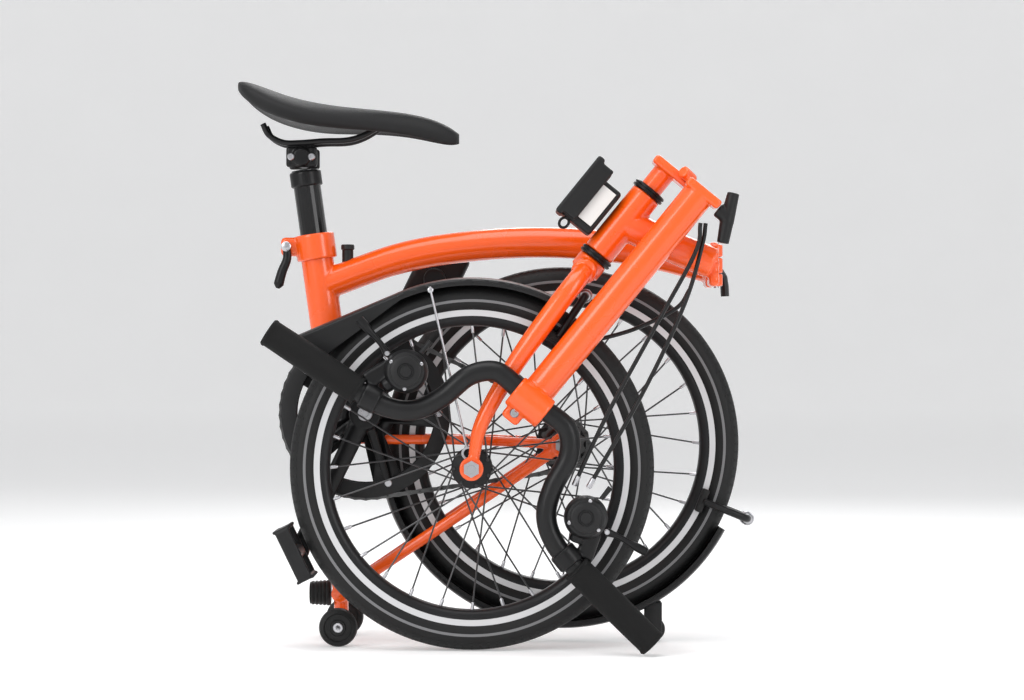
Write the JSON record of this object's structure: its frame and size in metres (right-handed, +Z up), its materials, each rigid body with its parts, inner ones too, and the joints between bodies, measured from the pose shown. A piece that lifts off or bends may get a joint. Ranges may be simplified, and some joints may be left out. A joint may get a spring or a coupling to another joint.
{
  "type": "folding bicycle",
  "caption": "Folded small-wheel bicycle with an orange steel frame, black saddle, bar and mudguards, standing on its rollers",
  "frame": {"origin": "on the floor, under the middle of the folded pack's box", "axes": "+X from the saddle's tail to its nose, +Y across, from the front wheel to the rear wheel, +Z up"},
  "size_m": [0.6016, 0.265, 0.652],
  "materials": {
    "orange_paint": "gloss orange stove enamel",
    "black_metal": "satin black",
    "black_plastic": "fine moulded texture",
    "saddle_cover": "matt black synthetic cover",
    "tyre_rubber": "black rubber with a grey reflective line",
    "grip_foam": "matt foam",
    "roller_rubber": "hard rubber",
    "rim_alloy": "machined brake track",
    "steel": "plated steel"
  },
  "bodies": {
    "main_frame": {"main_frame": "orange_paint", "seat_clamp": "orange_paint", "frame_hinge_pin": "steel", "chain": "steel"},
    "seat_lever": {"seat_clamp_lever": "black_metal"},
    "seat": {"seatpost": "black_metal", "saddle_clamp": "black_metal", "saddle_rail_right": "black_metal", "saddle_rail_left": "black_metal", "saddle": "saddle_cover"},
    "cranks": {"chainring": "black_metal", "crank_right": "black_metal", "crank_left": "black_metal"},
    "pedal_right": {"pedal_right": "black_metal"},
    "pedal_left": {"pedal_left": "black_metal"},
    "front_frame": {"front_frame": "orange_paint", "headset_upper": "black_metal", "headset_lower": "black_metal", "carrier_block": "black_plastic"},
    "frame_clamp": {"frame_clamp_lever": "black_metal"},
    "fork": {"fork": "orange_paint", "front_axle": "steel", "front_mudguard": "black_plastic", "front_guard_stay": "steel", "front_brake": "black_metal", "cable_frame_front": "black_plastic"},
    "front_wheel": {"front_tyre": "tyre_rubber", "front_rim": "rim_alloy", "front_hub_and_spokes": "black_metal"},
    "handlepost": {"handlepost": "orange_paint", "handlebar": "black_metal", "grip_left": "grip_foam", "grip_right": "grip_foam", "control_pod_left": "black_plastic", "control_pod_right": "black_plastic", "cable_brake_right": "black_plastic", "cable_shift_right": "black_plastic"},
    "post_clamp": {"post_clamp_lever": "black_plastic"},
    "brake_left": {"brake_lever_left": "black_metal"},
    "brake_right": {"brake_lever_right": "black_metal"},
    "shift_left": {"shift_lever_left": "black_plastic"},
    "shift_right": {"shift_lever_right": "black_plastic"},
    "rear_frame": {"rear_frame": "orange_paint", "rear_axle": "steel", "suspension_block": "roller_rubber", "rear_mudguard": "black_plastic", "rear_brake": "black_metal"},
    "rear_wheel": {"rear_tyre": "tyre_rubber", "rear_rim": "rim_alloy", "rear_hub_and_spokes": "black_metal", "sprocket": "steel"},
    "roller_right": {"roller_right": "roller_rubber"},
    "roller_left": {"roller_left": "roller_rubber"},
    "roller_guard": {"roller_guard": "roller_rubber"}
  },
  "joints": [
    {"name": "frame_hinge", "type": "hinge", "parent": "main_frame", "child": "front_frame", "pos_m": [0.2532, 0.002, 0.436], "axis": [0, 0, 1], "range_deg": [0, 178]},
    {"name": "rear_frame_pivot", "type": "hinge", "parent": "main_frame", "child": "rear_frame", "pos_m": [-0.2148, 0.0545, 0.237], "axis": [0, 1, 0], "range_deg": [0, 165], "deforming": ["chain"]},
    {"name": "handlepost_hinge", "type": "hinge", "parent": "fork", "child": "handlepost", "pos_m": [0.21581, -0.073, 0.53451], "axis": [-0.5487, -0.7071, 0.446], "range_deg": [0, 178]},
    {"name": "steering", "type": "hinge", "parent": "front_frame", "child": "fork", "pos_m": [0.173, -0.0505, 0.5175], "axis": [0.6307, 0, 0.776], "range_deg": [-4, 4]},
    {"name": "front_wheel_spin", "type": "hinge", "parent": "fork", "child": "front_wheel", "pos_m": [-0.0264, -0.0505, 0.2063], "axis": [0, 1, 0], "continuous": true},
    {"name": "rear_wheel_spin", "type": "hinge", "parent": "rear_frame", "child": "rear_wheel", "pos_m": [0.0772, 0.0545, 0.23], "axis": [0, 1, 0], "continuous": true},
    {"name": "crank_spin", "type": "hinge", "parent": "main_frame", "child": "cranks", "pos_m": [-0.1498, 0.0545, 0.266], "axis": [0, 1, 0], "range_deg": [0, 60]},
    {"name": "pedal_right_spin", "type": "hinge", "parent": "cranks", "child": "pedal_right", "pos_m": [-0.2268, 0.0075, 0.109], "axis": [0, 1, 0], "range_deg": [-4, 4]},
    {"name": "pedal_left_spin", "type": "hinge", "parent": "cranks", "child": "pedal_left", "pos_m": [-0.0728, 0.1225, 0.423], "axis": [0, 1, 0], "range_deg": [-180, 180]},
    {"name": "seatpost_slide", "type": "slide", "parent": "main_frame", "child": "seat", "axis": [-0.139, 0, 0.9903], "range_m": [-0.06, 0.09]},
    {"name": "seat_clamp_release", "type": "hinge", "parent": "main_frame", "child": "seat_lever", "pos_m": [-0.24327, 0.0545, 0.45911], "axis": [0, 1, 0], "range_deg": [0, 60]},
    {"name": "frame_clamp_turn", "type": "hinge", "parent": "main_frame", "child": "frame_clamp", "pos_m": [0.2512, 0.081, 0.44], "axis": [0, 1, 0], "range_deg": [-80, 20]},
    {"name": "post_clamp_turn", "type": "hinge", "parent": "handlepost", "child": "post_clamp", "pos_m": [0.25012, -0.0955, 0.49348], "axis": [0.776, 0, -0.6307], "range_deg": [-45, 45]},
    {"name": "brake_lever_left_pull", "type": "hinge", "parent": "handlepost", "child": "brake_left", "pos_m": [-0.11952, -0.108, 0.33515], "axis": [0, -1, 0], "range_deg": [0, 12]},
    {"name": "shift_lever_left_push", "type": "hinge", "parent": "handlepost", "child": "shift_left", "pos_m": [-0.09827, -0.124, 0.3153], "axis": [0, -1, 0], "range_deg": [-20, 20]},
    {"name": "brake_lever_right_pull", "type": "hinge", "parent": "handlepost", "child": "brake_right", "pos_m": [0.12416, -0.108, 0.13711], "axis": [0, 1, 0], "range_deg": [0, 12]},
    {"name": "shift_lever_right_push", "type": "hinge", "parent": "handlepost", "child": "shift_right", "pos_m": [0.10039, -0.124, 0.15385], "axis": [0, 1, 0], "range_deg": [-20, 20]},
    {"name": "roller_right_spin", "type": "hinge", "parent": "rear_frame", "child": "roller_right", "pos_m": [-0.1798, -0.0105, 0.022], "axis": [0, 1, 0], "continuous": true},
    {"name": "roller_left_spin", "type": "hinge", "parent": "rear_frame", "child": "roller_left", "pos_m": [-0.1798, 0.1195, 0.022], "axis": [0, 1, 0], "continuous": true},
    {"name": "roller_guard_spin", "type": "hinge", "parent": "rear_frame", "child": "roller_guard", "pos_m": [0.1832, 0.0545, 0.014], "axis": [0, 1, 0], "continuous": true}
  ]
}
